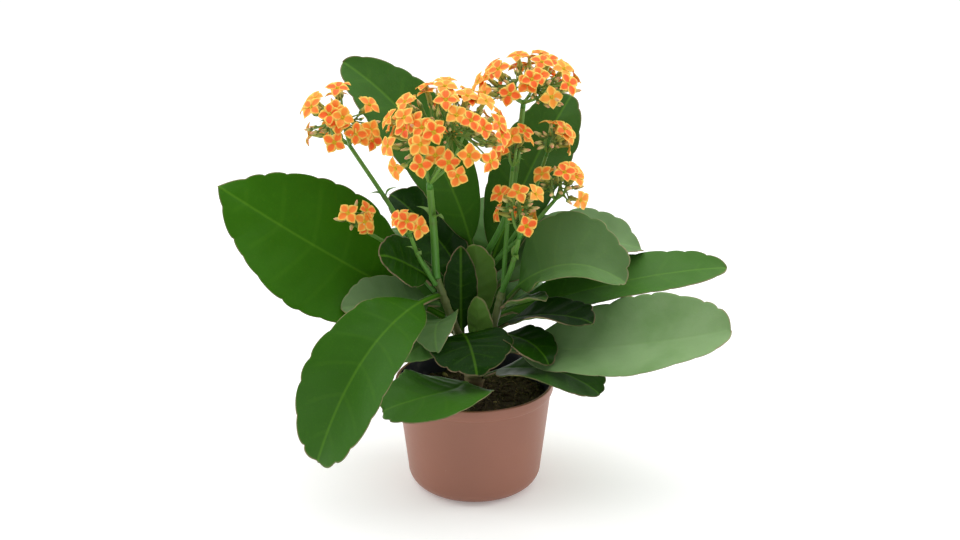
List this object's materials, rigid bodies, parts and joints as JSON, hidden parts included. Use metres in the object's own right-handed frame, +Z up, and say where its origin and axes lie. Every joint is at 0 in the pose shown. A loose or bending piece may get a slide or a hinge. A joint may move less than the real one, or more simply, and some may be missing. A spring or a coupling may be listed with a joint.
{
  "type": "potted kalanchoe",
  "caption": "Flowering kalanchoe with thick scalloped leaves and domed clusters of orange flowers on upright stalks, in a round tapered nursery pot.",
  "frame": {"origin": "centre of the pot's flat underside", "axes": "+Z up; -Y is the plant's front, which shows most of its flowers; +X is to the right seen from the front"},
  "size_m": [0.3203, 0.2273, 0.2892],
  "materials": {
    "pot_plastic": "satin",
    "peat": "matte",
    "stem_skin": "matte",
    "leaf_skin": "satin",
    "stalk_skin": "satin",
    "petals": "matte"
  },
  "bodies": {
    "root": {"pot": "pot_plastic", "potting_soil": "peat", "main_stem": "stem_skin", "left_shoot": "stem_skin", "right_shoot": "stem_skin", "back_shoot": "stem_skin", "leaf_left_large": "leaf_skin", "leaf_left_hanging": "leaf_skin", "leaf_left_inner": "leaf_skin", "leaf_left_folded": "leaf_skin", "leaf_front_low": "leaf_skin", "leaf_front_right_dark": "leaf_skin", "leaf_front_left_small": "leaf_skin", "leaf_front_left_sliver": "leaf_skin", "leaf_centre_upright": "leaf_skin", "leaf_centre_narrow": "leaf_skin", "leaf_centre_dark": "leaf_skin", "leaf_centre_right_dark": "leaf_skin", "leaf_centre_back": "leaf_skin", "leaf_right_upper": "leaf_skin", "leaf_right_small_glossy": "leaf_skin", "leaf_right_dark": "leaf_skin", "leaf_right_large": "leaf_skin", "leaf_right_far": "leaf_skin", "leaf_right_behind": "leaf_skin", "leaf_right_low": "leaf_skin", "leaf_left_top": "leaf_skin", "leaf_right_top": "leaf_skin", "leaf_back_left_low": "leaf_skin", "leaf_back_low": "leaf_skin", "leaf_back_right_low": "leaf_skin", "leaf_back_left_upper": "leaf_skin", "leaf_back_right_upper": "leaf_skin", "flower_stalk_centre": "stalk_skin", "flower_head_centre": "petals", "flower_stalk_left": "stalk_skin", "flower_head_left": "petals", "flower_stalk_top_right": "stalk_skin", "flower_head_top_right": "petals", "flower_stalk_right_front": "stalk_skin", "flower_head_right_front": "petals", "flower_stalk_right": "stalk_skin", "flower_head_right": "petals", "flower_stalk_right_upper": "stalk_skin", "flower_head_right_upper": "petals", "flower_stalk_front_upper": "stalk_skin", "flower_head_front_upper": "petals", "flower_stalk_left_front": "stalk_skin", "flower_head_left_front": "petals", "flower_stalk_far_left": "stalk_skin", "flower_head_far_left": "petals"}
  },
  "joints": []
}
